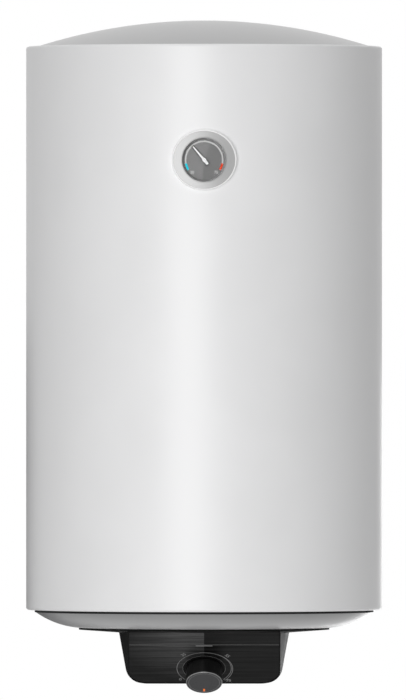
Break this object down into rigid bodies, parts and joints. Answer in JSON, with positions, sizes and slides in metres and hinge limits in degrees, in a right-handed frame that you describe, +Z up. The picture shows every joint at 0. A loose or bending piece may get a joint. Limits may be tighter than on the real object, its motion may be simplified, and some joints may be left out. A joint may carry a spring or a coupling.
{
  "type": "wall-hung storage water heater",
  "caption": "Upright round electric storage water heater for a wall, with a domed top, a dial thermometer and a sloping control panel with a knob below.",
  "frame": {"origin": "on the wall plane, midway between the two hanging slots of the wall bracket", "axes": "+Z up along the tank, +Y into the wall, +X to the right of a viewer facing the heater"},
  "size_m": [0.45, 0.468, 0.8494],
  "materials": {
    "jacket_white": "satin",
    "cap_grey": "satin",
    "insulation": "matte",
    "tank_enamel": "gloss",
    "bare_steel": "satin",
    "zinc_steel": "satin",
    "gasket_rubber": "matte",
    "copper_sheath": "satin",
    "brass_parts": "polished",
    "magnesium": "matte",
    "ceramic_white": "matte",
    "inner_plastic": "matte",
    "blue_plastic": "satin",
    "red_plastic": "satin",
    "bracket_paint": "satin",
    "spacer_rubber": "matte",
    "bezel_silver": "satin",
    "dial_grey": "matte",
    "print_light": "matte",
    "panel_print": "matte",
    "panel_line": "matte",
    "print_blue": "matte",
    "print_red": "matte",
    "needle_white": "satin",
    "window_clear": "gloss",
    "cover_black": "satin",
    "panel_brushed": "satin",
    "knob_black": "satin",
    "knob_grey": "satin",
    "pointer_orange": "satin",
    "lamp_lens": "gloss",
    "lamp_glass": "gloss",
    "moulded_dark": "matte",
    "button_red": "gloss",
    "block_ivory": "matte",
    "wire_brown": "satin",
    "wire_green_yellow": "satin"
  },
  "bodies": {
    "heater": {"outer_jacket": "jacket_white", "top_cap": "cap_grey", "bottom_cap": "cap_grey", "foam_insulation": "insulation", "tank_shell": "tank_enamel", "tank_top_head": "tank_enamel", "tank_bottom_head": "tank_enamel", "tank_flange_ring": "bare_steel", "flange_studs": "zinc_steel", "flange_nuts": "zinc_steel", "flange_gasket": "gasket_rubber", "element_flange": "bare_steel", "heating_element": "copper_sheath", "terminal_insulators": "ceramic_white", "terminal_tabs": "brass_parts", "thermowell": "copper_sheath", "anode_rod": "magnesium", "anode_stud": "zinc_steel", "cold_inlet_nipple": "zinc_steel", "hot_outlet_nipple": "zinc_steel", "cold_diffuser": "inner_plastic", "hot_dip_tube": "inner_plastic", "cold_ring": "blue_plastic", "hot_ring": "red_plastic", "wall_bracket": "bracket_paint", "bracket_legs": "bracket_paint", "wall_spacer": "spacer_rubber", "thermometer_bezel": "bezel_silver", "thermometer_cup": "moulded_dark", "thermometer_stem": "brass_parts", "thermometer_dial": "dial_grey", "thermometer_scale": "print_light", "cold_mark": "print_blue", "hot_mark": "print_red", "thermometer_lens": "window_clear", "bimetal_coil": "copper_sheath", "control_cover": "cover_black", "cover_screws": "knob_black", "control_fascia": "panel_brushed", "fascia_line": "panel_line", "dial_scale": "panel_print", "indicator_lens": "lamp_lens", "indicator_lamp": "lamp_glass", "thermostat_body": "moulded_dark", "thermostat_screws": "zinc_steel", "thermostat_sensor": "copper_sheath", "thermal_cutout": "moulded_dark", "terminal_block": "block_ivory", "terminal_clamps": "brass_parts", "mains_wires": "wire_brown", "earth_wire": "wire_green_yellow", "earth_screw": "brass_parts", "cord_gland": "knob_black"},
    "control_knob": {"knob": "knob_black", "knob_cap": "knob_grey", "knob_pointer": "pointer_orange", "thermostat_spindle": "zinc_steel"},
    "gauge_needle": {"thermometer_needle": "needle_white", "needle_spindle": "brass_parts"},
    "cutout_button": {"reset_button": "button_red"}
  },
  "joints": [
    {"name": "knob_turn", "type": "hinge", "parent": "heater", "child": "control_knob", "pos_m": [0, -0.2983, -0.6333], "axis": [0, 0.5878, 0.809], "range_deg": [0, 315]},
    {"name": "needle_turn", "type": "hinge", "parent": "heater", "child": "gauge_needle", "pos_m": [0, -0.462, 0.0065], "axis": [0, 1, 0], "range_deg": [-80, 160], "stiffness_Nm_per_rad": 0.001},
    {"name": "reset_press", "type": "slide", "parent": "heater", "child": "cutout_button", "axis": [0, 0, 1], "range_m": [0, 0.002], "stiffness_N_per_m": 250, "springref_m": -0.0005}
  ]
}
